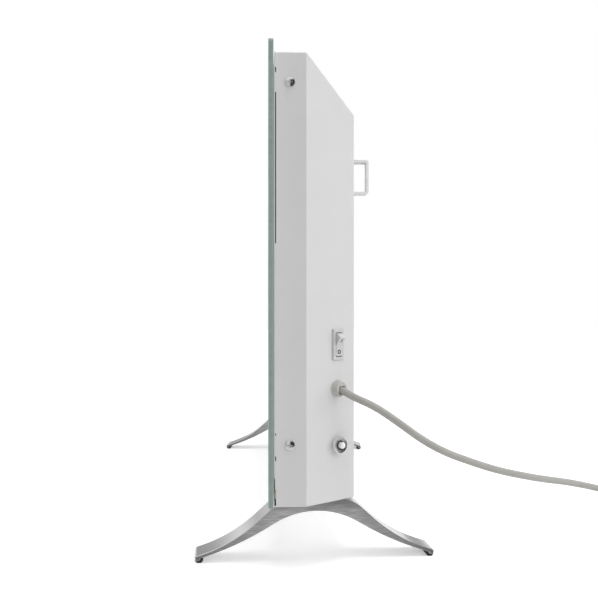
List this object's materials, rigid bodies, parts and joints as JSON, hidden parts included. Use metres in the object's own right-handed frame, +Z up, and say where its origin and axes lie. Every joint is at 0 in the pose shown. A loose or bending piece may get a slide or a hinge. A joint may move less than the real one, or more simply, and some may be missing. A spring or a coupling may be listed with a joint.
{
  "type": "glass panel heater",
  "caption": "Glass-fronted convector heater in a tapered sheet casing, on arched feet, with a side rocker switch, an overload reset button and a mains lead.",
  "frame": {"origin": "on the floor, midway between the two feet and midway between their front and rear toes", "axes": "+X along the width towards the end with the switch and lead, -Y the way the glass faces, +Z up"},
  "size_m": [0.8, 0.6952, 0.501],
  "materials": {
    "white_glass": "polished, white enamel behind",
    "light_paint": "satin light grey powder coat",
    "cover_paint": "satin white powder coat",
    "amber_silicone": "matt",
    "grey_silicone": "matt",
    "black_rubber": "matt",
    "screw_chrome": "bright nickel plate",
    "nut_chrome": "bright chrome plate",
    "switch_plastic": "semi-gloss light grey",
    "rocker_plastic": "semi-gloss off-white",
    "button_plastic": "gloss white",
    "grip_plastic": "matt grey nylon",
    "tie_plastic": "matt natural nylon",
    "grille_plastic": "fine matt grain",
    "dark_plastic": "matt black",
    "plug_plastic": "matt warm grey",
    "wire_sleeve": "woven glass sleeve",
    "board_laminate": "glass-fibre laminate",
    "cord_rubber": "matt warm grey sheath",
    "pin_nickel": "nickel-plated brass",
    "terminal_brass": "bare brass",
    "zinc_steel": "zinc plate",
    "black_steel": "matt black zinc plate",
    "brushed_aluminium": "brushed along the length",
    "element_aluminium": "oxidised extrusion",
    "shield_aluminium": "mill-finish sheet",
    "bush_ceramic": "unglazed steatite"
  },
  "bodies": {
    "heater": {"glass_panel": "white_glass", "front_plate": "light_paint", "rear_cover": "cover_paint", "corner_pads": "amber_silicone", "cover_screws": "screw_chrome", "switch_housing": "switch_plastic", "switch_terminals": "terminal_brass", "cord_grip": "grip_plastic", "cord_run": "cord_rubber", "cord_coil": "cord_rubber", "cord_tail": "cord_rubber", "cord_tie": "tie_plastic", "cord_inner_end": "cord_rubber", "plug_body": "plug_plastic", "plug_pins": "pin_nickel", "plug_earth_clips": "pin_nickel", "reset_nut": "nut_chrome", "reset_bezel": "nut_chrome", "overload_cutout": "dark_plastic", "wall_bracket_left": "cover_paint", "wall_bracket_right": "cover_paint", "bracket_screws": "screw_chrome", "foot_left": "brushed_aluminium", "foot_right": "brushed_aluminium", "foot_pads": "black_rubber", "foot_screws": "zinc_steel", "foot_nut_plates": "zinc_steel", "glass_adhesive": "grey_silicone", "fixing_angles": "black_steel", "outlet_grille": "grille_plastic", "heating_element": "element_aluminium", "element_pins": "zinc_steel", "element_bushes": "bush_ceramic", "element_brackets": "zinc_steel", "heat_shield": "shield_aluminium", "shield_spacers": "bush_ceramic", "control_board": "board_laminate", "board_parts": "dark_plastic", "board_spacers": "tie_plastic", "display_board": "board_laminate", "display_module": "dark_plastic", "room_sensor": "dark_plastic", "thermal_cutout": "dark_plastic", "thermal_fuse": "zinc_steel", "tip_over_switch": "dark_plastic", "terminal_block": "tie_plastic", "inner_wires": "wire_sleeve"},
    "rocker": {"rocker": "rocker_plastic"},
    "reset_button": {"reset_button": "button_plastic"}
  },
  "joints": [
    {"name": "rocker_tilt", "type": "hinge", "parent": "heater", "child": "rocker", "pos_m": [0.36477, 0.02042, 0.2132], "axis": [0.6417, -0.7669, 0], "range_deg": [0, 35]},
    {"name": "reset_press", "type": "slide", "parent": "heater", "child": "reset_button", "axis": [-0.7669, -0.6417, 0], "range_m": [0, 0.003], "stiffness_N_per_m": 300}
  ]
}
